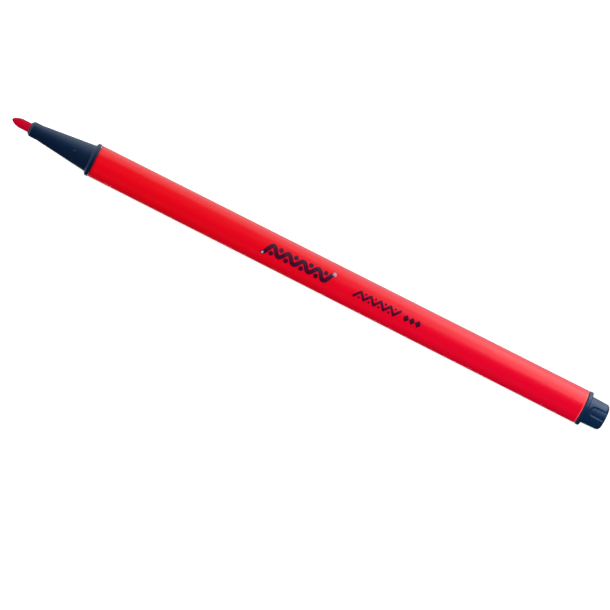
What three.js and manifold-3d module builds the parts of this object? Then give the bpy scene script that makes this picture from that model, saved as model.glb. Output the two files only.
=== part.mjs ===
// A fibre-tip colouring pen, uncapped and lying on its side, in millimetres with +Z up.
// Every piece is turned about the pen's own axis. Along that axis x runs from the
// writing point (x = 0) back to the end of the plug, and the whole pen is then moved
// so that the origin is under its middle, on the surface it lies on.
import * as THREE from "three";
import { mergeVertices } from "three/addons/utils/BufferGeometryUtils.js";
import Module from "manifold-3d";

const wasm = await Module();
wasm.setup();

// ---- Driving dimensions, mm -------------------------------------------------

const SIDES = 48; // facets round each turned piece
const SEAM = 0.1; // hairline between a collar and the barrel's end
const CLEARANCE = 0.05; // radial gap of a piece in its bore
const END_GAP = 0.3; // gap where one inner piece ends before the next
const LEAD_IN = 0.3; // depth of the taper that starts a spigot into its seat
const LEAD_IN_LENGTH = 0.5;
const OVERSHOOT = 1; // how far a cutter runs past what it cuts
const WELD_DISTANCE = 1e-4; // corners closer than this are one

// Lengths of what shows, from the writing point back
const NIB_SHOWN = 4.6;
const NOSE_LENGTH = 3.0;
const CONE_LENGTH = 12.6;
const FRONT_COLLAR_LENGTH = 1.4;
const BARREL_LENGTH = 129.0;
const REAR_COLLAR_LENGTH = 1.0;
const KNOB_LENGTH = 5.0;

// Nib: a bonded fibre rod with a bullet point
const NIB_RADIUS = 1.15;
const POINT_LENGTH = 2.5;
const POINT_FULLNESS = 1.7; // how far the bullet stays full towards its tip
const POINT_BLUNTNESS = 1.3; // how blunt the tip itself is
const NIB_IN_RESERVOIR = 6.0;
const NIB_TAIL_LENGTH = 1.6;
const NIB_TAIL_RADIUS = 0.45;

// Nib section: the nose, the cone that the cap slides over, its collar and its spigot
const NOSE_RIM_RADIUS = 1.32;
const NOSE_RADIUS = 1.865;
const NOSE_CHAMFER = 0.5;
const NOSE_EDGE = 0.07; // small round between the chamfer and the nose
const CONE_FRONT_RADIUS = 1.92;
const CONE_REAR_RADIUS = 3.3;
const FRONT_COLLAR_RADIUS = 4.1;
const COLLAR_FILLET = 0.5; // where the cone runs up into the collar
const COLLAR_ROUND = 0.3; // outer edge of the collar
const SECTION_SPIGOT_LENGTH = 7.5;
const SECTION_CAVITY_RADIUS = 2.3;
const CAVITY_TAPER = 0.5; // the cavity is this much narrower where it meets the nib's bore
const CAVITY_TAPER_LENGTH = 3.0;
const NIB_BORE_LENGTH = 9.0;
const VENT_COUNT = 3;
const VENT_TURN = 90; // degrees from the top towards -Y, for the first one
const VENT_WIDTH = 0.5;
const VENT_DEPTH = 0.28;
const PIP_COUNT = 3; // small bumps that hold the cap
const PIP_TURN = 35; // degrees from the top towards -Y, for the first one
const PIP_X = 16.5;
const PIP_RADIUS = 0.32;
const PIP_HEIGHT = 0.18;

// Barrel: a drawn-out tube with a seat at each end and ribs that centre the reservoir
const BARREL_FRONT_RADIUS = 4.0;
const BARREL_REAR_RADIUS = 4.2;
const BARREL_EDGE = 0.12;
const FRONT_SEAT_RADIUS = 3.3;
const FRONT_SEAT_DEPTH = 8.0;
const BORE_FRONT_RADIUS = 3.2;
const BORE_REAR_RADIUS = 3.45;
const REAR_SEAT_RADIUS = 3.5;
const REAR_SEAT_DEPTH = 8.0;
const SEAT_RAMP = 0.2; // length of the slope from a seat to the bore
const RIB_COUNT = 4;
const RIB_WIDTH = 0.5;
const RIB_INSET = 1.0; // from the end of a seat to the end of a rib
const RIB_TIP_RADIUS = 3.1;
const RIB_ROOT_RADIUS = 3.6;

// Ink reservoir: a fibre core in a thin wrap
const CORE_RADIUS = 2.9;
const WRAP_INNER_RADIUS = 2.93;
const WRAP_OUTER_RADIUS = 3.03;
const WRAP_OVERHANG = 0.2; // the wrap is cut a little longer than the core
const TAIL_HOLE_GAP = 0.2; // round the nib's narrow tail
const RESERVOIR_LENGTH = 112.0;

// End plug: a fluted knob, a collar, a sealing spigot and a cross-shaped post
const REAR_COLLAR_RADIUS = 4.3;
const KNOB_FRONT_RADIUS = 3.4;
const KNOB_REAR_RADIUS = 3.25;
const KNOB_ROUND = 1.0;
const KNOB_FILLET = 0.15;
const REAR_COLLAR_ROUND = 0.25;
const DIMPLE_RADIUS = 0.9;
const DIMPLE_DEPTH = 0.25;
const FLUTE_COUNT = 3;
const FLUTE_TURN = 26; // degrees from the top towards -Y, for the first one
const FLUTE_WIDTH = 2.45;
const FLUTE_START = 0.65; // from the collar to the round start of a flute
const FLUTE_FLOOR_RADIUS = 2.92;
const PLUG_SPIGOT_LENGTH = 7.0;
const PLUG_CAVITY_RADIUS = 2.5;
const PLUG_CAVITY_DEPTH = 9.0;
const PLUG_CAVITY_ROUND = 0.3;
const PLUG_BEAD_HEIGHT = 0.12;
const PLUG_BEAD_WIDTH = 0.6;
const PLUG_BEAD_SPACING = 2.4;
const PLUG_FIRST_BEAD = 1.6; // from the spigot's open end
const FIN_COUNT = 4;
const FIN_THICKNESS = 0.7;
const FIN_RADIUS = 2.35;
const FIN_ROOT = 0.5; // how far the fins run into the end of the cavity

// Places along the axis that follow from those
const CONE_X = NIB_SHOWN + NOSE_LENGTH;
const FRONT_COLLAR_X = CONE_X + CONE_LENGTH;
const BARREL_X = FRONT_COLLAR_X + FRONT_COLLAR_LENGTH;
const BARREL_END_X = BARREL_X + BARREL_LENGTH;
const KNOB_X = BARREL_END_X + REAR_COLLAR_LENGTH;
const PEN_LENGTH = KNOB_X + KNOB_LENGTH;
const RESERVOIR_X = BARREL_X + SECTION_SPIGOT_LENGTH + END_GAP;
const RESERVOIR_END_X = RESERVOIR_X + RESERVOIR_LENGTH;
const NIB_END_X = RESERVOIR_X + NIB_IN_RESERVOIR;

// The pen rests on a flat facet of its widest collar
const AXIS_HEIGHT = REAR_COLLAR_RADIUS * Math.cos(Math.PI / SIDES);

// ---- Materials --------------------------------------------------------------

const plastic = (color, roughness) =>
  new THREE.MeshStandardMaterial({ color, roughness, metalness: 0 });

const redPolypropylene = plastic(0xe3061c, 0.32);
const navyPolypropylene = plastic(0x0e1e3a, 0.38);
const inkedFibre = plastic(0xb9062e, 0.85);
const reservoirFibre = plastic(0xd8405a, 0.95);
const clearFilm = plastic(0xe8ecf0, 0.15);

// ---- Shape helpers ----------------------------------------------------------

// A solid of revolution about the X axis. Its outline is a list of [x, radius] points
// that starts and ends on the axis, or goes once round a ring's section.
function turned(outline) {
  const points = outline.map(([x, radius]) => new THREE.Vector2(radius, x));
  const onAxis = points[0].x === 0;
  if (!onAxis) points.push(points[0].clone());
  if (THREE.ShapeUtils.area(points) < 0) points.reverse();
  const lathe = new THREE.LatheGeometry(points, SIDES, Math.PI / SIDES);
  return lathe.rotateZ(-Math.PI / 2);
}

// Points of a quarter of an ellipse from one [x, radius] point to another, leaving the
// first along the axis when alongFirst is true, and otherwise straight across it.
function quarterRound(from, to, alongFirst, steps = 4) {
  const points = [];
  for (let i = 1; i < steps; i++) {
    const angle = (i / steps) * (Math.PI / 2);
    const early = Math.sin(angle);
    const late = 1 - Math.cos(angle);
    const [shareX, shareR] = alongFirst ? [early, late] : [late, early];
    points.push([
      from[0] + (to[0] - from[0]) * shareX,
      from[1] + (to[1] - from[1]) * shareR,
    ]);
  }
  return [from, ...points, to];
}

function toSolid(geometry) {
  const bare = geometry.clone();
  bare.deleteAttribute("normal");
  bare.deleteAttribute("uv");
  const merged = mergeVertices(bare, WELD_DISTANCE);
  return new wasm.Manifold(
    new wasm.Mesh({
      numProp: 3,
      vertProperties: merged.attributes.position.array,
      triVerts: new Uint32Array(merged.index.array),
    }),
  );
}

function toGeometry(solid) {
  const mesh = solid.getMesh();
  return new THREE.BufferGeometry()
    .setAttribute("position", new THREE.BufferAttribute(mesh.vertProperties, 3))
    .setIndex(new THREE.BufferAttribute(mesh.triVerts, 1));
}

// The same geometry at count even turns about the X axis. The first is firstTurn
// degrees from the top, towards -Y.
function around(count, makeGeometry, firstTurn = 0) {
  return Array.from({ length: count }, (_, i) =>
    makeGeometry().rotateX(THREE.MathUtils.degToRad(firstTurn + (i * 360) / count)),
  );
}

// A box along the axis from x1 to x2, of a given width, from radius r1 up to radius r2.
function radialBar(x1, x2, width, r1, r2) {
  return new THREE.BoxGeometry(x2 - x1, width, r2 - r1).translate(
    (x1 + x2) / 2,
    0,
    (r1 + r2) / 2,
  );
}

function joined(base, ...additions) {
  return additions.reduce((solid, geometry) => solid.add(toSolid(geometry)), base);
}

function cutBy(base, cutters) {
  return cutters.reduce((solid, cutter) => solid.subtract(cutter), base);
}

// ---- Pieces -----------------------------------------------------------------

function nib() {
  const outline = [];
  const steps = 12;
  for (let i = 0; i <= steps; i++) {
    const fromShaft = Math.cos((i / steps) * (Math.PI / 2)); // 1 at the tip, 0 at the shaft
    const fullness = 1 - Math.pow(fromShaft, POINT_FULLNESS);
    const radius = i ? NIB_RADIUS * Math.pow(fullness, 1 / POINT_BLUNTNESS) : 0;
    outline.push([POINT_LENGTH * (1 - fromShaft), radius]);
  }
  outline.push(
    [NIB_END_X - NIB_TAIL_LENGTH, NIB_RADIUS],
    [NIB_END_X, NIB_TAIL_RADIUS],
    [NIB_END_X, 0],
  );
  return turned(outline);
}

function nibSection() {
  const bore = NIB_RADIUS + CLEARANCE;
  const spigot = FRONT_SEAT_RADIUS - CLEARANCE;
  const spigotEnd = BARREL_X + SECTION_SPIGOT_LENGTH;
  const seatX = FRONT_COLLAR_X + COLLAR_FILLET;
  const crest = FRONT_COLLAR_RADIUS;
  const boreEnd = NIB_SHOWN + NIB_BORE_LENGTH;
  const body = toSolid(
    turned([
      [NIB_SHOWN, bore],
      [NIB_SHOWN, NOSE_RIM_RADIUS],
      [NIB_SHOWN + NOSE_CHAMFER, NOSE_RADIUS - NOSE_EDGE],
      [NIB_SHOWN + NOSE_CHAMFER + 2 * NOSE_EDGE, NOSE_RADIUS],
      [CONE_X, NOSE_RADIUS],
      [CONE_X + 2 * NOSE_EDGE, CONE_FRONT_RADIUS],
      ...quarterRound(
        [FRONT_COLLAR_X, CONE_REAR_RADIUS],
        [seatX, crest - COLLAR_ROUND],
        true,
      ),
      ...quarterRound(
        [seatX, crest - COLLAR_ROUND],
        [seatX + COLLAR_ROUND, crest],
        false,
      ),
      ...quarterRound(
        [BARREL_X - BARREL_EDGE, crest],
        [BARREL_X, crest - BARREL_EDGE],
        true,
        2,
      ),
      [BARREL_X, spigot],
      [spigotEnd - LEAD_IN_LENGTH, spigot],
      [spigotEnd, spigot - LEAD_IN],
      [spigotEnd, SECTION_CAVITY_RADIUS],
      [boreEnd + CAVITY_TAPER_LENGTH, SECTION_CAVITY_RADIUS - CAVITY_TAPER],
      [boreEnd, bore],
    ]),
  );
  const pipDepth = PIP_RADIUS - PIP_HEIGHT;
  const coneSlope = (CONE_REAR_RADIUS - CONE_FRONT_RADIUS) / CONE_LENGTH;
  const coneAtPip = CONE_FRONT_RADIUS + (PIP_X - CONE_X) * coneSlope;
  const pips = around(
    PIP_COUNT,
    () =>
      new THREE.SphereGeometry(PIP_RADIUS, 10, 8).translate(
        PIP_X,
        0,
        coneAtPip - pipDepth,
      ),
    PIP_TURN,
  );
  // The vents run back beside the nib, from the nose to the cavity behind its bore.
  const vents = around(
    VENT_COUNT,
    () =>
      radialBar(
        NIB_SHOWN - OVERSHOOT,
        boreEnd + OVERSHOOT,
        VENT_WIDTH,
        0,
        bore + VENT_DEPTH,
      ),
    VENT_TURN,
  );
  return toGeometry(cutBy(joined(body, ...pips), vents.map(toSolid)));
}

function barrel() {
  const front = BARREL_X + SEAM;
  const rear = BARREL_END_X - SEAM;
  const tube = toSolid(
    turned([
      ...quarterRound(
        [front, BARREL_FRONT_RADIUS - BARREL_EDGE],
        [front + BARREL_EDGE, BARREL_FRONT_RADIUS],
        false,
        2,
      ),
      ...quarterRound(
        [rear - BARREL_EDGE, BARREL_REAR_RADIUS],
        [rear, BARREL_REAR_RADIUS - BARREL_EDGE],
        true,
        2,
      ),
      [rear, REAR_SEAT_RADIUS],
      [rear - REAR_SEAT_DEPTH, REAR_SEAT_RADIUS],
      [rear - REAR_SEAT_DEPTH - SEAT_RAMP, BORE_REAR_RADIUS],
      [front + FRONT_SEAT_DEPTH + SEAT_RAMP, BORE_FRONT_RADIUS],
      [front + FRONT_SEAT_DEPTH, FRONT_SEAT_RADIUS],
      [front, FRONT_SEAT_RADIUS],
    ]),
  );
  const ribs = around(
    RIB_COUNT,
    () =>
      radialBar(
        front + FRONT_SEAT_DEPTH + RIB_INSET,
        rear - REAR_SEAT_DEPTH - RIB_INSET,
        RIB_WIDTH,
        RIB_TIP_RADIUS,
        RIB_ROOT_RADIUS,
      ),
    180 / RIB_COUNT,
  );
  return toGeometry(joined(tube, ...ribs));
}

function inkReservoir() {
  const hole = NIB_RADIUS + CLEARANCE;
  const holeEnd = NIB_END_X + END_GAP;
  return turned([
    [holeEnd, 0],
    [holeEnd, NIB_TAIL_RADIUS + TAIL_HOLE_GAP],
    [holeEnd - NIB_TAIL_LENGTH, hole],
    [RESERVOIR_X, hole],
    [RESERVOIR_X, CORE_RADIUS],
    [RESERVOIR_END_X, CORE_RADIUS],
    [RESERVOIR_END_X, 0],
  ]);
}

function reservoirWrap() {
  const front = RESERVOIR_X - WRAP_OVERHANG;
  const rear = RESERVOIR_END_X + WRAP_OVERHANG;
  return turned([
    [front, WRAP_INNER_RADIUS],
    [front, WRAP_OUTER_RADIUS],
    [rear, WRAP_OUTER_RADIUS],
    [rear, WRAP_INNER_RADIUS],
  ]);
}

// A sealing bead on the plug's spigot, centred at x.
function bead(x, radius) {
  const half = PLUG_BEAD_WIDTH / 2;
  return [
    [x - half, radius],
    [x - half / 3, radius + PLUG_BEAD_HEIGHT],
    [x + half / 3, radius + PLUG_BEAD_HEIGHT],
    [x + half, radius],
  ];
}

// A flute is a slot with a round start, sunk to a floor that curves with the knob.
function fluteCutter() {
  const half = FLUTE_WIDTH / 2;
  const past = KNOB_LENGTH + OVERSHOOT;
  const outline = new THREE.Shape()
    .moveTo(past, half)
    .lineTo(half, half)
    .absarc(half, 0, half, Math.PI / 2, (3 * Math.PI) / 2, false)
    .lineTo(past, -half)
    .closePath();
  const slot = new THREE.ExtrudeGeometry(outline, {
    depth: KNOB_FRONT_RADIUS + OVERSHOOT,
    bevelEnabled: false,
    curveSegments: 14,
  });
  return slot.translate(KNOB_X + FLUTE_START, 0, 0);
}

function endPlug() {
  const spigot = REAR_SEAT_RADIUS - CLEARANCE - PLUG_BEAD_HEIGHT;
  const spigotEnd = BARREL_END_X - PLUG_SPIGOT_LENGTH;
  const cavityEnd = spigotEnd + PLUG_CAVITY_DEPTH;
  const crest = REAR_COLLAR_RADIUS;
  const beadX = spigotEnd + PLUG_FIRST_BEAD;
  const body = toSolid(
    turned([
      [cavityEnd, 0],
      [cavityEnd, PLUG_CAVITY_RADIUS - PLUG_CAVITY_ROUND],
      [cavityEnd - PLUG_CAVITY_ROUND, PLUG_CAVITY_RADIUS],
      [spigotEnd, PLUG_CAVITY_RADIUS],
      [spigotEnd, spigot - LEAD_IN],
      [spigotEnd + LEAD_IN_LENGTH, spigot],
      ...bead(beadX, spigot),
      ...bead(beadX + PLUG_BEAD_SPACING, spigot),
      [BARREL_END_X, spigot],
      ...quarterRound(
        [BARREL_END_X, crest - BARREL_EDGE],
        [BARREL_END_X + BARREL_EDGE, crest],
        false,
        2,
      ),
      ...quarterRound(
        [KNOB_X - REAR_COLLAR_ROUND, crest],
        [KNOB_X, crest - REAR_COLLAR_ROUND],
        true,
        3,
      ),
      ...quarterRound(
        [KNOB_X, KNOB_FRONT_RADIUS + KNOB_FILLET],
        [KNOB_X + KNOB_FILLET, KNOB_FRONT_RADIUS],
        false,
        2,
      ),
      ...quarterRound(
        [PEN_LENGTH - KNOB_ROUND, KNOB_REAR_RADIUS],
        [PEN_LENGTH, KNOB_REAR_RADIUS - KNOB_ROUND],
        true,
      ),
      [PEN_LENGTH, DIMPLE_RADIUS],
      [PEN_LENGTH - DIMPLE_DEPTH, DIMPLE_RADIUS - DIMPLE_DEPTH],
      [PEN_LENGTH - DIMPLE_DEPTH, 0],
    ]),
  );
  const floor = toSolid(
    turned([
      [KNOB_X, 0],
      [KNOB_X, FLUTE_FLOOR_RADIUS],
      [PEN_LENGTH + OVERSHOOT, FLUTE_FLOOR_RADIUS],
      [PEN_LENGTH + OVERSHOOT, 0],
    ]),
  );
  const flutes = around(FLUTE_COUNT, fluteCutter, FLUTE_TURN).map((flute) =>
    toSolid(flute).subtract(floor),
  );
  // The post's crossed fins reach forward to hold the reservoir.
  const postStart = RESERVOIR_END_X + WRAP_OVERHANG + END_GAP;
  const postEnd = cavityEnd + FIN_ROOT;
  const fins = around(
    FIN_COUNT,
    () => radialBar(postStart, postEnd, FIN_THICKNESS, 0, FIN_RADIUS),
    180 / FIN_COUNT,
  );
  return toGeometry(joined(cutBy(body, flutes), ...fins));
}

// ---- Assembly ---------------------------------------------------------------

const pen = new THREE.Group();
pen.position.set(-PEN_LENGTH / 2, 0, AXIS_HEIGHT);

function addPiece(name, geometry, material) {
  const mesh = new THREE.Mesh(geometry, material);
  mesh.name = name;
  pen.add(mesh);
}

addPiece("nib", nib(), inkedFibre);
addPiece("nib_section", nibSection(), navyPolypropylene);
addPiece("barrel", barrel(), redPolypropylene);
addPiece("ink_reservoir", inkReservoir(), reservoirFibre);
addPiece("reservoir_wrap", reservoirWrap(), clearFilm);
addPiece("end_plug", endPlug(), navyPolypropylene);

export default pen;
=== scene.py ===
import bpy
import math
from mathutils import Matrix, Vector


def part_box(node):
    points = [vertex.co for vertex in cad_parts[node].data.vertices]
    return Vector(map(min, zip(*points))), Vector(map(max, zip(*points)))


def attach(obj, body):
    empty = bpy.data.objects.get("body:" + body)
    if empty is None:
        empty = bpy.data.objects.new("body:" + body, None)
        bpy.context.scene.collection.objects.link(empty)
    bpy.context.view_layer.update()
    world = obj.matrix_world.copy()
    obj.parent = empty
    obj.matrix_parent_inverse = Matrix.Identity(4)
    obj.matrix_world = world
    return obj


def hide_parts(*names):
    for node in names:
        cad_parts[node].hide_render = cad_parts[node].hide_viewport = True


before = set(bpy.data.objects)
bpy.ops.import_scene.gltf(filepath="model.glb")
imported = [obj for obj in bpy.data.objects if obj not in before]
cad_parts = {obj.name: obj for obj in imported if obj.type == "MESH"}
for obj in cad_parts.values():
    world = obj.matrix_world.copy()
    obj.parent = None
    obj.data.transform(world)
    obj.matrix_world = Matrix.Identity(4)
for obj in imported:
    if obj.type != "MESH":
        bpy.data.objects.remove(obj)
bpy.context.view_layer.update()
print("frame loaded:", len(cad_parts), "CAD nodes")

mm = 0.001  # in metres, as all of Blender's places are
weldGap = 0.0005 * mm  # vertices closer than this become one
sameRing = 0.001  # mm along the pen within which vertices belong to one ring
offAxis = 0.01  # mm from the axis beyond which a vertex isn't a pole
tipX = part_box("nib")[0].x  # the writing point
axisZ = sum(corner.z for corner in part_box("barrel")) / 2  # height of the pen's own axis


def fromTip(metres):
    return (metres - tipX) / mm  # a place along the pen, in mm back from the writing point


# where the CAD pieces start and end, in mm from the writing point
sectionStart, sectionEnd = (fromTip(corner.x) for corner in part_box("nib_section"))
barrelStart, barrelEnd = (fromTip(corner.x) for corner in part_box("barrel"))
coreStart, coreEnd = (fromTip(corner.x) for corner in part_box("ink_reservoir"))
wrapStart, wrapEnd = (fromTip(corner.x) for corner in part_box("reservoir_wrap"))
plugEnd = fromTip(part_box("end_plug")[1].x)
nibEnd = fromTip(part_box("nib")[1].x)


def arc(start, end, leaving, steps=5):
    # a quarter round between two (place, radius) points; it leaves the first one along the pen or
    # across it
    points = [start]
    for i in range(1, steps):
        turn = math.radians(90 * i / steps)
        shares = (math.sin(turn), 1 - math.cos(turn))
        along, across = shares if leaving == "along" else reversed(shares)
        points.append((start[0] + (end[0] - start[0]) * along,
                       start[1] + (end[1] - start[1]) * across))
    return points + [end]


def spread(start, end, steps):
    # evenly spaced rings between two (place, radius) points, without the first
    return [tuple(a + (b - a) * i / steps for a, b in zip(start, end))
            for i in range(1, steps + 1)]


def turnPiece(name, outline, sides):
    # a circle is extruded and scaled from ring to ring along the pen; radius 0 closes it in a pole
    rings = [point for point, last in zip(outline, [None] + outline)
             if point != last and point[1] > 0]
    bpy.ops.object.select_all(action="DESELECT")
    bpy.ops.mesh.primitive_circle_add(
        vertices=sides, radius=rings[0][1] * mm,
        location=(tipX + rings[0][0] * mm, 0, axisZ), rotation=(0, math.pi / 2, 0))
    piece = bpy.context.object
    piece.name = name
    bpy.ops.object.transform_apply(location=True, rotation=True, scale=True)
    bpy.ops.object.mode_set(mode="EDIT")
    if outline[0][1] == 0:
        closePole(rings[0], outline[0])
        selectRing(piece, rings[0])
    for here, there in zip(rings, rings[1:]):
        extrudeAlong(here, there)
        scale = there[1] / here[1]
        bpy.ops.transform.resize(value=(1, scale, scale),
                                 center_override=(tipX + there[0] * mm, 0, axisZ))
    if outline[-1][1] == 0:
        closePole(rings[-1], outline[-1])
    bpy.ops.mesh.select_all(action="SELECT")
    bpy.ops.mesh.remove_doubles(threshold=weldGap)
    bpy.ops.mesh.normals_make_consistent(inside=False)
    bpy.ops.object.mode_set(mode="OBJECT")
    return piece


def extrudeAlong(here, there):
    step = ((there[0] - here[0]) * mm, 0, 0)
    bpy.ops.mesh.extrude_edges_move(TRANSFORM_OT_translate={"value": step})


def closePole(ring, pole):
    extrudeAlong(ring, pole)
    bpy.ops.mesh.merge(type="CENTER")


def selectRing(piece, ring):
    # the vertices at one place along the pen, and the edges between them
    bpy.ops.mesh.select_all(action="DESELECT")
    bpy.ops.object.mode_set(mode="OBJECT")
    for vertex in piece.data.vertices:
        onRing = abs(fromTip(vertex.co.x) - ring[0]) < sameRing
        vertex.select = onRing and radiusOf(vertex.co) > offAxis
    for edge in piece.data.edges:
        edge.select = all(piece.data.vertices[i].select for i in edge.vertices)
    bpy.ops.object.mode_set(mode="EDIT")


def startSelecting(kind):
    # nothing selected, in the given mode, with edit mode left so that code can select
    bpy.ops.object.mode_set(mode="EDIT")
    bpy.ops.mesh.select_mode(type=kind)
    bpy.ops.mesh.select_all(action="DESELECT")
    bpy.ops.object.mode_set(mode="OBJECT")


def radiusOf(place):
    return math.hypot(place.y, place.z - axisZ) / mm


def turnOf(place):
    return math.degrees(math.atan2(-place.y, place.z - axisZ))  # degrees from the top towards -Y


def wrapTurn(degrees):
    return (degrees + 180) % 360 - 180


def pressShape(piece, newRadius):
    # moves each vertex in or out from the axis, as a tool presses a shape into a turned blank
    for vertex in piece.data.vertices:
        radius = radiusOf(vertex.co)
        wanted = newRadius(fromTip(vertex.co.x), turnOf(vertex.co), radius)
        if wanted != radius:
            scale = wanted / radius
            vertex.co.y *= scale
            vertex.co.z = axisZ + (vertex.co.z - axisZ) * scale


def addBar(start, end, width, innerRadius, outerRadius, turn):
    # a plain bar along the pen, used as a cutter or joined on as a fin
    bpy.ops.object.select_all(action="DESELECT")
    bpy.ops.mesh.primitive_cube_add(size=1)
    bar = bpy.context.object
    bar.scale = ((end - start) * mm, width * mm, (outerRadius - innerRadius) * mm)
    bar.location = (tipX + (start + end) / 2 * mm, 0, (innerRadius + outerRadius) / 2 * mm)
    bpy.ops.object.transform_apply(location=True, rotation=True, scale=True)
    ontoAxis = Matrix.Translation((0, 0, axisZ)) @ Matrix.Rotation(math.radians(turn), 4, "X")
    bar.data.transform(ontoAxis)
    return bar


def useTool(piece, tool, operation):
    # joins or cuts with another solid, which is then removed, and cleans what the cut leaves
    cut = piece.modifiers.new(operation.lower(), "BOOLEAN")
    cut.operation = operation
    cut.solver = "EXACT"
    cut.object = tool
    applyModifiers(piece)
    bpy.data.objects.remove(tool)
    bpy.ops.object.mode_set(mode="EDIT")
    bpy.ops.mesh.select_all(action="SELECT")
    bpy.ops.mesh.remove_doubles(threshold=weldGap)
    bpy.ops.mesh.dissolve_degenerate(threshold=weldGap)
    bpy.ops.mesh.select_all(action="DESELECT")
    bpy.ops.object.mode_set(mode="OBJECT")


def selectOnly(piece):
    bpy.ops.object.select_all(action="DESELECT")
    piece.select_set(True)
    bpy.context.view_layer.objects.active = piece


def applyModifiers(piece):
    selectOnly(piece)
    for modifier in list(piece.modifiers):
        bpy.ops.object.modifier_apply(modifier=modifier.name)


def finishPiece(piece, material, body, replaced=None, smoothAngle=32):
    selectOnly(piece)
    bpy.ops.object.shade_smooth_by_angle(angle=math.radians(smoothAngle))
    piece.data.materials.clear()
    piece.data.materials.append(material)
    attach(piece, body)
    if replaced:
        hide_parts(replaced)
    print("made", piece.name, len(piece.data.polygons), "faces")


# materials

def fromHex(code):
    # an sRGB hex colour as linear light
    channels = [int(code[i:i + 2], 16) / 255 for i in (1, 3, 5)]
    return [c / 12.92 if c <= 0.04045 else ((c + 0.055) / 1.055) ** 2.4 for c in channels] + [1]


def addNode(tree, kind, settings=None, values=None, links=None):
    node = tree.nodes.new(kind)
    for name, value in (settings or {}).items():
        setattr(node, name, value)
    for socket, value in (values or {}).items():
        node.inputs[socket].default_value = value
    for socket, source in (links or {}).items():
        tree.links.new(source, node.inputs[socket])
    return node


def startMaterial(name, shaderValues):
    material = bpy.data.materials.new(name)
    material.use_nodes = True
    tree = material.node_tree
    shader = tree.nodes["Principled BSDF"]
    for socket, value in shaderValues.items():
        shader.inputs[socket].default_value = value
    place = addNode(tree, "ShaderNodeTexCoord").outputs["Object"]
    return material, tree, shader, place


def linkShader(tree, shader, sources):
    for socket, source in sources.items():
        tree.links.new(source, shader.inputs[socket])


def mouldedPlastic(name, look):
    # Injection-moulded polypropylene: pigment clouds a few mm across from the melt's flow, a slow
    # change of tone along the pen that is painted light, lighter towards the tail as under a lamp
    # over it, a satin skin copied from the polished steel of the mould, and fine rub marks along
    # the pen from handling.
    material, tree, shader, place = startMaterial(name, {
        "IOR": 1.49, "Specular IOR Level": 0.5, "Specular Tint": fromHex(look["sheenTint"])})
    clouds = addNode(tree, "ShaderNodeTexNoise", None,
                     {"Scale": 1 / (look["cloudSize"] * mm), "Detail": 2.0}, {"Vector": place})
    axes = addNode(tree, "ShaderNodeSeparateXYZ", None, None, {"Vector": place})
    # painted light: the colour runs from front to rear, lighter towards the tail as under the lamp
    # over it
    paintedLightAlong = addNode(tree, "ShaderNodeMapRange", {"interpolation_type": "SMOOTHSTEP"},
                   {"From Min": tipX + look["toneStart"] * mm,
                    "From Max": tipX + look["toneEnd"] * mm}, {"Value": axes.outputs["X"]})
    share = look["cloudShare"]
    tone = addNode(tree, "ShaderNodeMath", {"operation": "MULTIPLY_ADD", "use_clamp": True},
                   {1: share, 2: -share / 2}, {0: clouds.outputs["Fac"]})
    tone = addNode(tree, "ShaderNodeMath", {"operation": "ADD", "use_clamp": True}, None,
                   {0: tone.outputs["Value"], 1: paintedLightAlong.outputs["Result"]})
    colour = addNode(tree, "ShaderNodeMix", {"data_type": "RGBA"}, None,
                     {"Factor": tone.outputs["Value"]})
    colour.inputs["A"].default_value = fromHex(look["frontColour"])
    colour.inputs["B"].default_value = fromHex(look["rearColour"])
    # each painted rim is painted shade or a painted highlight: a band at one end mixed towards a
    # darker or paler colour
    for rim in look["paintedRims"]:
        paintedRimMask = addNode(tree, "ShaderNodeMapRange", {"interpolation_type": "SMOOTHSTEP"},
                       {"From Min": tipX + rim["inner"] * mm, "From Max": tipX + rim["edge"] * mm,
                        "To Max": rim["strength"]}, {"Value": axes.outputs["X"]})
        colour = addNode(tree, "ShaderNodeMix", {"data_type": "RGBA"}, None,
                         {"Factor": paintedRimMask.outputs["Result"], "A": colour.outputs["Result"]})
        colour.inputs["B"].default_value = fromHex(rim["colour"])
    across = 1 / (look["rubWidth"] * mm)
    stretched = addNode(tree, "ShaderNodeMapping", None,
                        {"Scale": (1 / (look["rubLength"] * mm), across, across)},
                        {"Vector": place})
    rubs = addNode(tree, "ShaderNodeTexNoise", None,
                   {"Scale": 1.0, "Detail": 3.0, "Roughness": 0.6},
                   {"Vector": stretched.outputs["Vector"]})
    low, high = look["roughness"]
    gloss = addNode(tree, "ShaderNodeMapRange", None,
                    {"From Min": 0.3, "From Max": 0.7, "To Min": low, "To Max": high},
                    {"Value": rubs.outputs["Fac"]})
    skin = addNode(tree, "ShaderNodeTexNoise", None,
                   {"Scale": 1 / (look["skinSize"] * mm), "Detail": 2.0}, {"Vector": place})
    bump = addNode(tree, "ShaderNodeBump", None,
                   {"Strength": look["skinStrength"], "Distance": look["skinHeight"] * mm},
                   {"Height": skin.outputs["Fac"]})
    linkShader(tree, shader, {"Base Color": colour.outputs["Result"],
                              "Roughness": gloss.outputs["Result"],
                              "Normal": bump.outputs["Normal"]})
    return material


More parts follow.
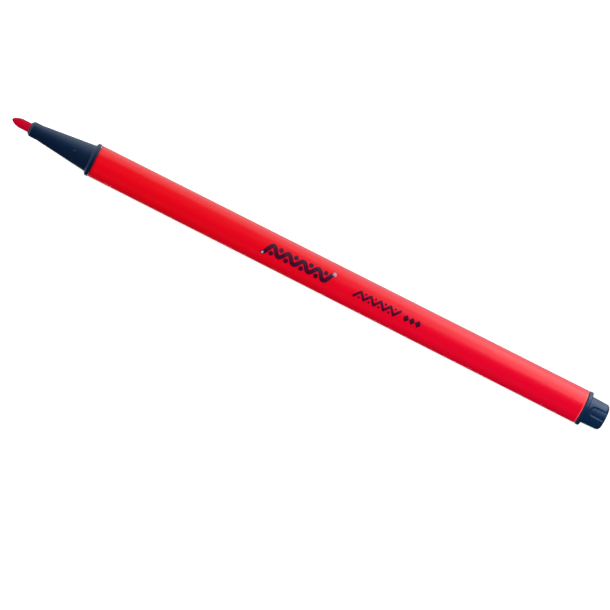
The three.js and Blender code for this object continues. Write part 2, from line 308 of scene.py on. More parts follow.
def inkedFibre(name, look):
    # Polyester fibres drawn along the rod, bonded and soaked with ink: fine streaks along the pen,
    # drawn a little coarser than the real 0.03 mm fibre so that they show, and a damp soft sheen.
    material, tree, shader, place = startMaterial(name, {"IOR": 1.40, "Specular IOR Level": 0.25})
    across = 1 / (look["fibreWidth"] * mm)
    stretched = addNode(tree, "ShaderNodeMapping", None,
                        {"Scale": (1 / (look["fibreLength"] * mm), across, across)},
                        {"Vector": place})
    fibres = addNode(tree, "ShaderNodeTexNoise", None,
                     {"Scale": 1.0, "Detail": 4.0, "Roughness": 0.55},
                     {"Vector": stretched.outputs["Vector"]})
    colour = addNode(tree, "ShaderNodeValToRGB", None, None, {"Fac": fibres.outputs["Fac"]})
    for stop, position, code in zip(colour.color_ramp.elements, (0.32, 0.68), look["colours"]):
        stop.position = position
        stop.color = fromHex(code)
    low, high = look["roughness"]
    damp = addNode(tree, "ShaderNodeMapRange", None,
                   {"From Min": 0.3, "From Max": 0.7, "To Min": high, "To Max": low},
                   {"Value": fibres.outputs["Fac"]})
    bump = addNode(tree, "ShaderNodeBump", None,
                   {"Strength": 0.5, "Distance": look["fibreHeight"] * mm},
                   {"Height": fibres.outputs["Fac"]})
    linkShader(tree, shader, {"Base Color": colour.outputs["Color"],
                              "Roughness": damp.outputs["Result"],
                              "Normal": bump.outputs["Normal"]})
    return material


def clearFilm(name, look):
    # Blown polypropylene film, 0.05 mm thick in life: clear, with a faint haze that varies round
    # the wrap.
    material, tree, shader, place = startMaterial(name, {
        "IOR": 1.49, "Transmission Weight": 0.85, "Base Color": fromHex(look["colour"])})
    haze = addNode(tree, "ShaderNodeTexNoise", None,
                   {"Scale": 1 / (look["hazeSize"] * mm), "Detail": 3.0}, {"Vector": place})
    low, high = look["roughness"]
    gloss = addNode(tree, "ShaderNodeMapRange", None, {"To Min": low, "To Max": high},
                    {"Value": haze.outputs["Fac"]})
    linkShader(tree, shader, {"Roughness": gloss.outputs["Result"]})
    return material


def stampedPigment(name, look):
    # Pigment foil pressed on with a hot die: two tones in tiny worn spots, where it is thin and
    # what lies under it shows, a little metal lustre in the dark foil, and a slightly uneven face.
    material, tree, shader, place = startMaterial(
        name, {"Metallic": look["lustre"], "Roughness": 0.4})
    wear = addNode(tree, "ShaderNodeTexNoise", None,
                   {"Scale": 1 / (look["wearSize"] * mm), "Detail": 3.0}, {"Vector": place})
    colour = addNode(tree, "ShaderNodeValToRGB", None, None, {"Fac": wear.outputs["Fac"]})
    for stop, position, code in zip(colour.color_ramp.elements, (0.35, 0.75), look["colours"]):
        stop.position = position
        stop.color = fromHex(code)
    bump = addNode(tree, "ShaderNodeBump", None,
                   {"Strength": 0.4, "Distance": look["height"] * mm},
                   {"Height": wear.outputs["Fac"]})
    linkShader(tree, shader, {"Base Color": colour.outputs["Color"],
                              "Normal": bump.outputs["Normal"]})
    return material


# sizes in a look are in mm, and tones and painted rims are placed in mm from the writing point
# the barrel's rear colour is lighter than its front: painted light, standing in for the lamp over
# the tail
barrelPlastic = mouldedPlastic("polypropyleneRedMoulded", {
    "frontColour": "#e90219", "rearColour": "#ee022c", "toneStart": 40.0, "toneEnd": 140.0,
    "cloudSize": 9.0, "cloudShare": 0.3, "rubLength": 14.0, "rubWidth": 0.25,
    "roughness": (0.28, 0.36), "skinSize": 1.6, "skinStrength": 0.35, "skinHeight": 0.01,
    "sheenTint": "#fff6ee",
    # painted shade darkens the front rim, whose round turns away from the light, and a painted
    # highlight makes the rear rim paler, as if its round caught the light
    "paintedRims": (
        {"edge": barrelStart, "inner": barrelStart + 0.55, "colour": "#70081e", "strength": 0.7},
        {"edge": barrelEnd, "inner": barrelEnd - 0.45, "colour": "#f0a0a8", "strength": 0.45})})
navyPlastic = mouldedPlastic("polypropyleneNavyMoulded", {
    "frontColour": "#091a34", "rearColour": "#0a1b35", "toneStart": 5.0, "toneEnd": 25.0,
    "cloudSize": 4.0, "cloudShare": 0.3, "rubLength": 6.0, "rubWidth": 0.2,
    "roughness": (0.46, 0.54), "skinSize": 0.3, "skinStrength": 0.2, "skinHeight": 0.01,
    "sheenTint": "#bce2ff", "paintedRims": ()})
plugPlastic = mouldedPlastic("polypropyleneBlueBlackMoulded", {
    "frontColour": "#0d2748", "rearColour": "#0e2a4b", "toneStart": 148.0, "toneEnd": 157.0,
    "cloudSize": 4.0, "cloudShare": 0.3, "rubLength": 6.0, "rubWidth": 0.2,
    "roughness": (0.36, 0.44), "skinSize": 0.3, "skinStrength": 0.2, "skinHeight": 0.01,
    "sheenTint": "#cfe0ff", "paintedRims": ()})
nibFibre = inkedFibre("polyesterFibreNibInked", {
    "colours": ("#b00124", "#c9022c"), "fibreWidth": 0.07, "fibreLength": 1.6,
    "fibreHeight": 0.012, "roughness": (0.55, 0.7)})
coreFibre = inkedFibre("polyesterFibreReservoirInked", {
    "colours": ("#b3122f", "#d9445c"), "fibreWidth": 0.12, "fibreLength": 9.0,
    "fibreHeight": 0.04, "roughness": (0.6, 0.85)})
wrapFilm = clearFilm("polypropyleneFilmClear", {
    "colour": "#f4f6f8", "hazeSize": 4, "roughness": (0.08, 0.3)})
markFoil = stampedPigment("pigmentFoilStamped", {
    "colours": ("#240a26", "#640a36"), "lustre": 0.2, "wearSize": 0.35, "height": 0.01})
# painted glints: a pale pink, nearly white foil for the stem's tips, standing for light caught by
# the foil
paintedGlintFoil = stampedPigment("foilGlintPainted", {
    "colours": ("#8f6a72", "#ffe2e2"), "lustre": 0.0, "wearSize": 0.35, "height": 0.01})
print("materials made")


# nib: a bonded fibre rod ground to a bullet point; every length below is in mm

nib = {"radius": 1.15, "pointLength": 2.5, "fullness": 1.7, "bluntness": 1.55, "pointRings": 22,
       "shaftRings": 12, "tailLength": 1.6, "tailRadius": 0.45, "tailRings": 3, "sides": 96}


def makeNib():
    outline = [(0, 0)]
    for i in range(1, nib["pointRings"] + 1):
        fromShaft = math.cos(math.radians(90 * i / nib["pointRings"]))
        fullness = 1 - fromShaft ** nib["fullness"]
        outline.append((nib["pointLength"] * (1 - fromShaft),
                        nib["radius"] * fullness ** (1 / nib["bluntness"])))
    tailStart = nibEnd - nib["tailLength"]
    outline += spread(outline[-1], (tailStart, nib["radius"]), nib["shaftRings"])
    outline += spread(outline[-1], (nibEnd, nib["tailRadius"]), nib["tailRings"])
    outline.append((nibEnd, 0))
    piece = turnPiece("nibBullet", outline, nib["sides"])
    finishPiece(piece, nibFibre, "nib", "nib", smoothAngle=40)


makeNib()


# nib section: nose, cone, cap pips, collar and spigot in one moulding

section = {
    "bore": 1.2, "boreLength": 9.0, "mouthLength": 0.12, "mouthLip": 0.02,
    "rimRadius": 1.3, "rimStep": 0.01, "noseRadius": 1.865, "noseLength": 3.0, "chamfer": 0.5,
    "edge": 0.08, "edgeLength": 2.2,  # the chamfer's rounded edge, and how many edges long it is
    "coneFront": 1.92, "coneRear": 3.3, "coneEase": 0.2,
    "collarGap": 0.1, "collarLength": 1.4, "collarRadius": 4.1, "collarFillet": 0.5,
    "collarRound": 0.3, "collarEdge": (0.05, 0.04), "seam": 0.04,
    "spigotRadius": 3.25, "spigotFillet": 0.08, "leadIn": 0.3, "leadInLength": 0.5,
    "cavityRadius": 2.3, "funnelLength": 3.0, "funnelDepth": 0.5,
    "ventWidth": 0.5, "ventDepth": 0.28, "ventTurns": (90, 210, 330), "cutterSpare": 1,
    "pipPlace": 16.5, "pipRadius": 0.33, "pipHeight": 0.18, "pipTurns": (35, 155, 275),
    "pipRoom": 0.4, "sides": 192}


def makeSection():
    s = section
    collarStart = barrelStart - s["collarGap"] - s["collarLength"]
    collarEnd = barrelStart - s["seam"]
    coneStart = sectionStart + s["noseLength"]
    boreEnd = sectionStart + s["boreLength"]
    seat = collarStart + s["collarFillet"]
    slope = (s["coneRear"] - s["coneFront"]) / (collarStart - coneStart)

    def onCone(place):
        return (place, s["coneFront"] + slope * (place - coneStart))

    # the bore, the mouth and the nose
    shoulder = (sectionStart + s["chamfer"], s["noseRadius"] - s["edge"])
    shoulderEnd = (shoulder[0] + s["edgeLength"] * s["edge"], s["noseRadius"])
    outline = [(boreEnd, s["bore"]), (sectionStart + s["mouthLength"], s["bore"])]
    outline += arc(outline[-1], (sectionStart, s["rimRadius"] - s["mouthLip"]), "along", 3)
    outline += [(sectionStart + s["rimStep"], s["rimRadius"])]
    outline += spread(outline[-1], shoulder, 3)
    outline += arc(shoulder, shoulderEnd, "across", 4)
    outline += spread(outline[-1], (coneStart, s["noseRadius"]), 5)
    # the cone, with close rings where the pips are
    outline += arc(outline[-1], onCone(coneStart + s["coneEase"]), "across", 3)
    outline += spread(outline[-1], onCone(s["pipPlace"] - s["pipRoom"]), 16)
    outline += spread(outline[-1], onCone(s["pipPlace"] + s["pipRoom"]), 14)
    outline += spread(outline[-1], (collarStart, s["coneRear"]), 6)
    # the collar
    edgeLength, edgeDepth = s["collarEdge"]
    outline += arc(outline[-1], (seat, s["collarRadius"] - s["collarRound"]), "along", 8)
    outline += arc(outline[-1], (seat + s["collarRound"], s["collarRadius"]), "across", 7)
    outline += arc((collarEnd - edgeLength, s["collarRadius"]),
                   (collarEnd, s["collarRadius"] - edgeDepth), "along", 4)
    # the spigot and its cavity
    outline += arc((collarEnd, s["spigotRadius"] + s["spigotFillet"]),
                   (collarEnd + s["spigotFillet"], s["spigotRadius"]), "across", 3)
    outline += [(sectionEnd - s["leadInLength"], s["spigotRadius"])]
    outline += [(sectionEnd, s["spigotRadius"] - s["leadIn"]), (sectionEnd, s["cavityRadius"])]
    outline += [(boreEnd + s["funnelLength"], s["cavityRadius"] - s["funnelDepth"])]
    outline += [(boreEnd, s["bore"])]
    piece = turnPiece("nibSectionMoulding", outline, s["sides"])

    def withPips(place, turn, radius):
        if radius < s["coneFront"] or place > collarStart:
            return radius
        for pipTurn in s["pipTurns"]:
            across = math.radians(wrapTurn(turn - pipTurn)) * radius
            away = math.hypot(place - s["pipPlace"], across) / s["pipRadius"]
            if away < 1:
                return radius + s["pipHeight"] * math.sqrt(1 - away * away)
        return radius

    pressShape(piece, withPips)
    for turn in s["ventTurns"]:
        cutter = addBar(sectionStart - s["cutterSpare"], boreEnd + s["cutterSpare"],
                        s["ventWidth"], 0, s["bore"] + s["ventDepth"], turn)
        useTool(piece, cutter, "DIFFERENCE")
    finishPiece(piece, navyPlastic, "nib_section", "nib_section", smoothAngle=38)


makeSection()


# barrel: a drafted tube with a seat at each end and four ribs that centre the reservoir;
# where two values stand together, they are for the front and the rear

barrel = {
    "radius": (4.0, 4.2), "edge": (0.05, 0.24), "seatRadius": (3.3, 3.5), "seatDepth": 8.0,
    "seatEdge": 0.1, "seatStep": 0.2, "boreRadius": (3.2, 3.45), "bodyRings": 40,
    "ribCount": 4, "ribTurn": 45, "ribWidth": 0.55, "ribScale": 0.955, "ribInset": 1.0,
    "ribFace": 20,  # the bore's own faces reach further than this from their middles
    "sides": 192}


def barrelRadius(place):
    front, rear = barrel["radius"]
    return front + (rear - front) * (place - barrelStart) / (barrelEnd - barrelStart)


def makeBarrel():
    b = barrel
    frontSeat, rearSeat = barrelStart + b["seatDepth"], barrelEnd - b["seatDepth"]
    (front, rear), (frontEdge, rearEdge) = b["radius"], b["edge"]
    (seatFront, seatRear), (boreFront, boreRear) = b["seatRadius"], b["boreRadius"]
    outline = arc((barrelStart, front - frontEdge), (barrelStart + frontEdge, front), "across")
    outline += spread(outline[-1], (barrelEnd - rearEdge, rear), b["bodyRings"])
    outline += arc(outline[-1], (barrelEnd, rear - rearEdge), "along", 8)
    outline += arc((barrelEnd, seatRear + b["seatEdge"]),
                   (barrelEnd - b["seatEdge"], seatRear), "across", 3)
    outline += [(rearSeat, seatRear), (rearSeat - b["seatStep"], boreRear)]
    outline += [(rearSeat - b["ribInset"], boreRear), (frontSeat + b["ribInset"], boreFront)]
    outline += [(frontSeat + b["seatStep"], boreFront), (frontSeat, seatFront)]
    outline += arc((barrelStart + b["seatEdge"], seatFront),
                   (barrelStart, seatFront + b["seatEdge"]), "along", 3)
    outline.append(outline[0])
    piece = turnPiece("barrelTube", outline, b["sides"])

    # the ribs are drawn inwards from strips of the bore's faces
    startSelecting("FACE")
    for face in piece.data.polygons:
        place, radius = fromTip(face.center.x), radiusOf(face.center)
        inBore = radius < seatRear and frontSeat < place < rearSeat
        reach = max(abs(piece.data.vertices[i].co.x - face.center.x) for i in face.vertices)
        turn = wrapTurn(b["ribCount"] * (turnOf(face.center) - b["ribTurn"])) / b["ribCount"]
        inStrip = math.radians(abs(turn)) * boreFront < b["ribWidth"] / 2
        face.select = inBore and inStrip and reach > b["ribFace"] * mm
    bpy.ops.object.mode_set(mode="EDIT")
    bpy.ops.mesh.extrude_region_move(TRANSFORM_OT_translate={"value": (0, 0, 0)})
    bpy.ops.transform.resize(value=(1, b["ribScale"], b["ribScale"]),
                             center_override=(0, 0, axisZ))
    bpy.ops.mesh.select_mode(type="VERT")
    bpy.ops.object.mode_set(mode="OBJECT")
    finishPiece(piece, barrelPlastic, "barrel", "barrel")


makeBarrel()


# ink reservoir: a fibre core in a thin film wrap, with a hole for the nib's tail

core = {"radius": 2.9, "edge": 0.15, "bodyRings": 30, "holeRadius": 1.2, "tailHole": 0.65,
        "holeGap": 0.3, "tailLength": 1.6, "sides": 96}
wrap = {"inner": 2.93, "outer": 3.03, "sides": 96}


def makeCore():
    holeEnd = nibEnd + core["holeGap"]
    shoulder = core["radius"] - core["edge"]
    outline = [(holeEnd, 0), (holeEnd, core["tailHole"])]
    outline += [(holeEnd - core["tailLength"], core["holeRadius"]), (coreStart, core["holeRadius"])]
    outline += arc((coreStart, shoulder), (coreStart + core["edge"], core["radius"]), "across", 3)
    outline += spread(outline[-1], (coreEnd - core["edge"], core["radius"]), core["bodyRings"])
    outline += arc(outline[-1], (coreEnd, shoulder), "along", 3)
    outline.append((coreEnd, 0))
    piece = turnPiece("reservoirCore", outline, core["sides"])
    finishPiece(piece, coreFibre, "barrel", "ink_reservoir")


def makeFilm():
    outline = [(wrapStart, wrap["inner"]), (wrapStart, wrap["outer"]), (wrapEnd, wrap["outer"]),
               (wrapEnd, wrap["inner"]), (wrapStart, wrap["inner"])]
    piece = turnPiece("reservoirFilm", outline, wrap["sides"])
    finishPiece(piece, wrapFilm, "barrel", "reservoir_wrap")


makeCore()
makeFilm()


# end plug: collar, fluted knob, beaded spigot and a crossed post that holds the reservoir

plug = {
    "collarLength": 1.0, "collarFront": (0.24, 0.2), "collarRound": 0.26,
    "knobLength": 5.0, "knobFront": 3.4, "knobRear": 3.25, "knobRound": 1.0, "fillet": 0.12,
    "dimpleRadius": 0.9, "dimpleDepth": 0.25, "dimpleSlope": 0.2, "dimpleEdge": (0.04, 0.06),
    "fluteTurns": (26, 146, 266), "fluteWidth": 2.45, "fluteStart": 0.65, "fluteFloor": 2.92,
    "fluteWall": 0.22, "fluteRings": 26, "knobRings": 12,
    "spigotLength": 7.0, "spigotRadius": 3.33, "spigotFillet": 0.08, "leadIn": 0.3,
    "leadInLength": 0.5, "beadHeight": 0.12, "beadWidth": 0.6, "beadPlaces": (1.6, 4.0),
    "beadSteps": 6, "cavityRadius": 2.5, "cavityDepth": 9.0, "cavityChamfer": 0.3,
    "finRadius": 2.35, "finWidth": 0.7, "finGap": 0.5, "finRoot": 0.3,
    "fins": ((45, 0), (135, 0.02)),  # turn, and a small inset so that no two faces lie together
    "sides": 288}


def makePlug():
    p = plug
    knobStart = plugEnd - p["knobLength"]
    collarStart = knobStart - p["collarLength"]
    spigotStart = collarStart - p["spigotLength"]
    cavityEnd = spigotStart + p["cavityDepth"]
    collarRadius = axisZ / mm  # the collar touches the surface that the pen lies on
    # the cavity and the beaded spigot
    outline = [(cavityEnd, 0), (cavityEnd, p["cavityRadius"] - p["cavityChamfer"])]
    outline += [(cavityEnd - p["cavityChamfer"], p["cavityRadius"])]
    outline += [(spigotStart, p["cavityRadius"]), (spigotStart, p["spigotRadius"] - p["leadIn"])]
    outline += [(spigotStart + p["leadInLength"], p["spigotRadius"])]
    for bead in p["beadPlaces"]:
        for i in range(p["beadSteps"] + 1):
            turn = math.radians(180 * i / p["beadSteps"])
            outline.append((spigotStart + bead - p["beadWidth"] / 2 * math.cos(turn),
                            p["spigotRadius"] + p["beadHeight"] * math.sin(turn)))
    # the collar
    frontLength, frontDepth = p["collarFront"]
    outline += arc((collarStart - p["spigotFillet"], p["spigotRadius"]),
                   (collarStart, p["spigotRadius"] + p["spigotFillet"]), "along", 3)
    outline += arc((collarStart, collarRadius - frontDepth),
                   (collarStart + frontLength, collarRadius), "across", 6)
    outline += arc((knobStart - p["collarRound"], collarRadius),
                   (knobStart, collarRadius - p["collarRound"]), "along", 7)
    # the knob, with close rings where the flutes begin
    outline += arc((knobStart, p["knobFront"] + p["fillet"]),
                   (knobStart + p["fillet"], p["knobFront"]), "across", 4)
    straight = p["knobLength"] - p["fillet"] - p["knobRound"]
    taper = (p["knobRear"] - p["knobFront"]) / straight
    denseEnd = knobStart + p["fluteStart"] + p["fluteWidth"] / 2 + p["fluteWall"]
    denseRadius = p["knobFront"] + taper * (denseEnd - knobStart - p["fillet"])
    outline += spread(outline[-1], (denseEnd, denseRadius), p["fluteRings"])
    outline += spread(outline[-1], (plugEnd - p["knobRound"], p["knobRear"]), p["knobRings"])
    outline += arc(outline[-1], (plugEnd, p["knobRear"] - p["knobRound"]), "along", 10)
    # the dimple in its end
    edgeDepth, edgeWidth = p["dimpleEdge"]
    dimpleFloor = plugEnd - p["dimpleDepth"]
    outline += [(plugEnd, p["dimpleRadius"] + edgeWidth), (plugEnd - edgeDepth, p["dimpleRadius"])]
    outline += [(dimpleFloor, p["dimpleRadius"] - p["dimpleSlope"]), (dimpleFloor, 0)]
    piece = turnPiece("endPlugMoulding", outline, p["sides"])

    def withFlutes(place, turn, radius):
        if place < knobStart + p["fillet"] or radius <= p["fluteFloor"]:
            return radius
        half = p["fluteWidth"] / 2
        along = min(place - knobStart - p["fluteStart"] - half, 0)
        nearest = min(abs(wrapTurn(turn - flute)) for flute in p["fluteTurns"])
        outside = math.hypot(along, math.radians(nearest) * radius) - half
        share = min(max(0.5 - outside / p["fluteWall"], 0), 1)
        return radius - (radius - p["fluteFloor"]) * share * share * (3 - 2 * share)

    pressShape(piece, withFlutes)
    for turn, inset in p["fins"]:
        fin = addBar(coreEnd + p["finGap"] + inset, cavityEnd + p["finRoot"] + inset,
                     p["finWidth"], -p["finRadius"] + inset, p["finRadius"] - inset, turn)
        useTool(piece, fin, "UNION")
    finishPiece(piece, plugPlastic, "end_plug", "end_plug", smoothAngle=38)


makePlug()


# stamped decoration on the barrel: a garland, a zigzag and three diamonds, with no lettering

marks = {
    "facing": 30.0,  # degrees from the top to the line that the marks stand on
    "lift": 0.012, "sink": 0.01,  # how far the foil stands above the barrel and reaches into it
    "cell": 0.09, "margin": 0.2,  # the sheet's mesh size, and the spare sheet round a shape
    "probe": 0.1, "pulls": 3, "leastSlope": 0.1,  # how the sheet's edge finds the outline
    "waveSteps": 18, "flourishPower": 5, "smoothAngle": 60,
    "garland": {"start": 65.8, "end": 84.5, "rise": 0.05, "swing": 0.88, "flourish": 0.6,
                "stroke": 1.04, "waves": 4.5, "sharp": False, "berry": 0.58, "berryPlace": 1.0,
                "glintSizes": (0.3, 0.48)},
    "zigzag": {"start": 89.8, "end": 102.1, "rise": -0.05, "swing": 0.82, "flourish": 0,
               "stroke": 0.6, "waves": 4.5, "sharp": True, "berry": 0.28, "berryPlace": 0.85,
               "glintSizes": (0, 0)},
    "diamonds": {"start": 102.8, "end": 107.5, "rise": -0.12, "count": 3, "height": 0.95,
                 "width": 0.76}}


def ontoBarrel(place, up, height):
    # up is the distance round the barrel above the line that the marks stand on
    radius = barrelRadius(place)
    turn = math.radians(marks["facing"]) - up / radius
    radius = (radius + height) * mm
    return Vector((tipX + place * mm, -radius * math.sin(turn), axisZ + radius * math.cos(turn)))


def fromPath(points):
    # gives a function for the distance from a place to a path of straight steps
    def distance(u, v):
        best = math.inf
        for (ax, ay), (bx, by) in zip(points, points[1:]):
            if abs(u - (ax + bx) / 2) > abs(bx - ax) / 2 + best:
                continue
            dx, dy = bx - ax, by - ay
            share = ((u - ax) * dx + (v - ay) * dy) / (dx ** 2 + dy ** 2)
            share = min(max(share, 0), 1)
            best = min(best, math.hypot(u - ax - share * dx, v - ay - share * dy))
        return best
    return distance


def stampShape(name, look, reach, outside):
    # a fine sheet is trimmed to the shape, its edge is drawn onto the outline, and it is laid on
    # the barrel and given its thickness; outside(u, v) is how far a place lies outside the shape
    margin, cell = marks["margin"], marks["cell"]
    length, height = look["end"] - look["start"] + 2 * margin, 2 * (reach + margin)
    bpy.ops.object.select_all(action="DESELECT")
    bpy.ops.mesh.primitive_grid_add(
        x_subdivisions=round(length / cell), y_subdivisions=round(height / cell), size=1)
    piece = bpy.context.object
    piece.name = name
    startSelecting("FACE")
    piece.data.transform(Matrix.Diagonal((length, height, 1, 1)))
    piece.data.transform(Matrix.Translation((length / 2 - margin, 0, 0)))
    for face in piece.data.polygons:
        face.select = outside(face.center.x, face.center.y) > 0
    bpy.ops.object.mode_set(mode="EDIT")
    bpy.ops.mesh.delete(type="FACE")
    bpy.ops.mesh.select_mode(type="VERT")
    bpy.ops.mesh.select_all(action="DESELECT")
    bpy.ops.mesh.select_non_manifold()
    bpy.ops.object.mode_set(mode="OBJECT")
    step = cell * marks["probe"]
    for vertex in piece.data.vertices:
        u, v = vertex.co.x, vertex.co.y
        for pull in range(marks["pulls"] if vertex.select else 0):
            off = outside(u, v)
            slope = Vector((outside(u + step, v) - off, outside(u, v + step) - off)) / step
            if slope.length > marks["leastSlope"]:
                slope.normalize()
                u, v = u - slope.x * off, v - slope.y * off
        vertex.co = ontoBarrel(look["start"] + u, look["rise"] + v, marks["lift"])
    shell = piece.modifiers.new("foil", "SOLIDIFY")
    shell.thickness = (marks["lift"] + marks["sink"]) * mm
    shell.offset = -1
    applyModifiers(piece)
    finishPiece(piece, markFoil, "barrel", smoothAngle=marks["smoothAngle"])
    return piece


def makeStem(name, look):
    half = look["stroke"] / 2
    run = look["end"] - look["start"] - 2 * half
    bends = round(2 * look["waves"])

    def swingAt(share):
        # the wave swings out further at both ends
        return look["swing"] + look["flourish"] * abs(2 * share - 1) ** marks["flourishPower"]

    steps = bends * (1 if look["sharp"] else marks["waveSteps"])
    stem = [(half + run * i / steps, -swingAt(i / steps) * math.cos(math.pi * bends * i / steps))
            for i in range(steps + 1)]
    fromStem = fromPath(stem)
    # a berry sits in each bend, above and below the stem in turn
    berryUp = look["swing"] * look["berryPlace"]
    berries = [(half + run * i / bends, berryUp if i % 2 == 0 else -berryUp)
               for i in range(1, bends)]

    def outside(u, v):
        fromBerry = min(math.hypot(u - bu, v - bv) for bu, bv in berries) - look["berry"]
        return min(fromStem(u, v) - half, fromBerry)

    piece = stampShape(name, look, look["swing"] + look["flourish"] + half, outside)
    # painted highlight: both tips of the stem get a pale foil, a painted glint where the foil
    # catches the light
    piece.data.materials.append(paintedGlintFoil)
    for (u, v), size in zip((stem[0], stem[-1]), look["glintSizes"]):
        tip = ontoBarrel(look["start"] + u, look["rise"] + v, 0)
        for face in piece.data.polygons:
            if (face.center - tip).length < size * mm:
                face.material_index = 1


def makeDiamonds(name, look):
    spacing = (look["end"] - look["start"]) / look["count"]
    width, height = look["width"], look["height"]

    def outside(u, v):
        nearest = min(abs(u - spacing * (i + 0.5)) for i in range(look["count"]))
        return (nearest / width + abs(v) / height - 1) * width * height / math.hypot(width, height)

    stampShape(name, look, height, outside)


makeStem("markGarland", marks["garland"])
makeStem("markZigzag", marks["zigzag"])
makeDiamonds("markDiamonds", marks["diamonds"])


# camera: a long lens looking down on the pen, turned so that the pen slopes down to the right;
# metres and degrees, and in mm how far right and up the pen's middle is from the view's middle

cameraPlan = {"distance": 1.15, "viewWidth": 0.1437, "elevation": 60.0, "towardsTip": 3.0,
              "slope": 26.8, "penRight": 1.07, "penUp": 8.44, "sensor": 36.0, "clip": (0.01, 20)}


def cameraAxes():
    # right, up and back directions of the camera
    plan = cameraPlan
    elevation, yaw = math.radians(plan["elevation"]), math.radians(plan["towardsTip"])
    back = Vector((-math.sin(yaw), -math.cos(yaw) * math.cos(elevation),
                   math.cos(yaw) * math.sin(elevation)))
    along = Vector((1, 0, 0))
    along = (along - back * along.dot(back)).normalized()  # the pen's direction in the view
    right = Matrix.Rotation(math.radians(plan["slope"]), 3, back) @ along
    return right, back.cross(right), back


def addCamera():
    plan = cameraPlan
    right, up, back = cameraAxes()
    middle = Vector((tipX + plugEnd * mm / 2, 0, axisZ))
    target = middle - right * plan["penRight"] * mm - up * plan["penUp"] * mm
    bpy.ops.object.camera_add(location=target + back * plan["distance"])
    camera = bpy.context.object
    camera.rotation_euler = Matrix((right, up, back)).transposed().to_euler()
    camera.data.sensor_width = plan["sensor"]
    camera.data.lens = plan["sensor"] * plan["distance"] / plan["viewWidth"]
    camera.data.clip_start, camera.data.clip_end = plan["clip"]
    bpy.context.scene.camera = camera


addCamera()


# floor and soft studio light

floorLook = {"size": 6.0, "light": "#c4c4c6", "dark": "#bebec1", "glow": 0.9, "mottleScale": 60.0}
# shiny surfaces see a bright wall behind the pen, dimmer below the floor; the rest is a dim white
roomLook = {"even": 0.05, "wall": 2.0, "wallDirection": (-0.6, 0.78, -0.17),
            "wallEdge": (0.12, 0.34), "belowFloor": 0.5, "horizon": (-0.4, 0.1)}
# softboxes: distance, turn round the pen from the camera (0) up over the back (90), place along
# the pen, size along the pen and across, in metres, and brightness
softboxes = {
    "overTail": {"distance": 0.25, "turn": 62, "along": 0.18, "size": (0.24, 0.42), "bright": 3.15}}
# soft fills that give no highlights: turn round the pen, turn along it towards its tail, W/m2,
# and spread; bounce stands for the floor's own light
fills = {
    "key": {"turn": 8, "tail": -6, "strength": 1.72, "spread": 12},
    "front": {"turn": -60, "tail": 0, "strength": 1.2, "spread": 12},
    "back": {"turn": 76, "tail": 0, "strength": 1.3, "spread": 12},
    "tipSide": {"turn": 8, "tail": -60, "strength": 0.45, "spread": 12},
    "tailSide": {"turn": 8, "tail": 60, "strength": 0.4, "spread": 12},
    "bounce": {"turn": -140, "tail": 0, "strength": 0.8, "spread": 12},
}


def addFloor():
    bpy.ops.object.select_all(action="DESELECT")
    bpy.ops.mesh.primitive_plane_add(size=floorLook["size"], location=(0, 0, 0))
    floor = bpy.context.object
    floor.name = "paleFloor"
    # Back-lit opal acrylic sheet: a matt face with a very faint mottle, glowing evenly.
    material, tree, shader, place = startMaterial("acrylicOpalBacklit", {
        "Roughness": 0.7, "Specular IOR Level": 0.1, "Emission Color": fromHex("#ffffff"),
        "Emission Strength": floorLook["glow"]})
    mottle = addNode(tree, "ShaderNodeTexNoise", None,
                     {"Scale": floorLook["mottleScale"], "Detail": 2.0}, {"Vector": place})
    colour = addNode(tree, "ShaderNodeMix", {"data_type": "RGBA"}, None,
                     {"Factor": mottle.outputs["Fac"]})
    colour.inputs["A"].default_value = fromHex(floorLook["dark"])
    colour.inputs["B"].default_value = fromHex(floorLook["light"])
    linkShader(tree, shader, {"Base Color": colour.outputs["Result"]})
    floor.data.materials.append(material)
    # the fill named bounce and the wall stand for what the floor throws back
    floor.visible_glossy = floor.visible_diffuse = floor.visible_shadow = False


def lightDirection(turn, tail=0):
    elevation = math.radians(cameraPlan["elevation"])
    facing = Vector((0, -math.cos(elevation), math.sin(elevation)))
    overBack = Vector((0, math.sin(elevation), math.cos(elevation)))
    turn, tail = math.radians(turn), math.radians(tail)
    across = facing * math.cos(turn) + overBack * math.sin(turn)
    return across * math.cos(tail) + Vector((math.sin(tail), 0, 0))


def addLight(kind, name, direction, place):
    bpy.ops.object.light_add(type=kind, location=place)
    light = bpy.context.object
    light.name = name
    along = (Vector((1, 0, 0)) - direction * direction.x).normalized()
    axes = Matrix((along, direction.cross(along), direction))
    light.rotation_euler = axes.transposed().to_euler()
    return light


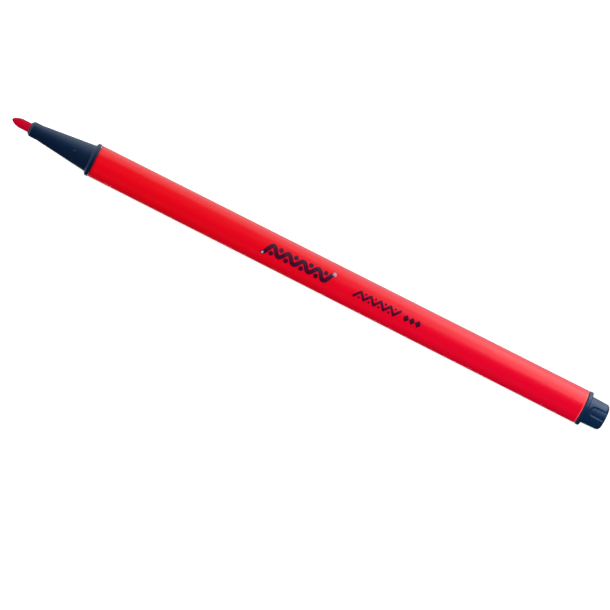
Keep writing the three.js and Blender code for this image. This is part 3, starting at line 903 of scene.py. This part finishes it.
def addLights():
    for name, box in softboxes.items():
        direction = lightDirection(box["turn"])
        place = Vector((box["along"], 0, axisZ)) + direction * box["distance"]
        light = addLight("AREA", name, direction, place)
        light.data.shape = "RECTANGLE"
        light.data.size, light.data.size_y = box["size"]
        light.data.energy = box["bright"] * math.pi * box["size"][0] * box["size"][1]
        light.visible_diffuse = False
    for name, fill in fills.items():
        direction = lightDirection(fill["turn"], fill["tail"])
        light = addLight("SUN", name, direction, direction)
        light.data.energy = fill["strength"]
        light.data.angle = math.radians(fill["spread"])
        light.visible_glossy = False


def addRoom():
    world = bpy.data.worlds.new("softRoom")
    bpy.context.scene.world = world
    world.use_nodes = True
    world.cycles.sampling_method = "NONE"  # the room is soft, so bounced rays alone find it
    tree = world.node_tree
    direction = addNode(tree, "ShaderNodeTexCoord").outputs["Generated"]
    behind = addNode(tree, "ShaderNodeVectorMath", {"operation": "DOT_PRODUCT"},
                     {1: Vector(roomLook["wallDirection"]).normalized()}, {0: direction})
    low, high = roomLook["wallEdge"]
    wall = addNode(tree, "ShaderNodeMapRange", {"interpolation_type": "SMOOTHSTEP"},
                   {"From Min": low, "From Max": high, "To Max": roomLook["wall"]},
                   {"Value": behind.outputs["Value"]})
    low, high = roomLook["horizon"]
    upwards = addNode(tree, "ShaderNodeSeparateXYZ", None, None, {"Vector": direction})
    dimming = addNode(tree, "ShaderNodeMapRange", {"interpolation_type": "SMOOTHSTEP"},
                      {"From Min": low, "From Max": high, "To Min": roomLook["belowFloor"]},
                      {"Value": upwards.outputs["Z"]})
    wall = addNode(tree, "ShaderNodeMath", {"operation": "MULTIPLY"}, None,
                   {0: wall.outputs["Result"], 1: dimming.outputs["Result"]})
    rays = addNode(tree, "ShaderNodeLightPath")
    strength = addNode(tree, "ShaderNodeMix", None, {"A": roomLook["even"]},
                       {"Factor": rays.outputs["Is Glossy Ray"], "B": wall.outputs["Value"]})
    background = tree.nodes["Background"]
    background.inputs["Color"].default_value = fromHex("#ffffff")
    tree.links.new(strength.outputs["Result"], background.inputs["Strength"])
    bpy.context.scene.view_settings.view_transform = "Standard"


addFloor()
addLights()
addRoom()
print("camera, floor and light placed")
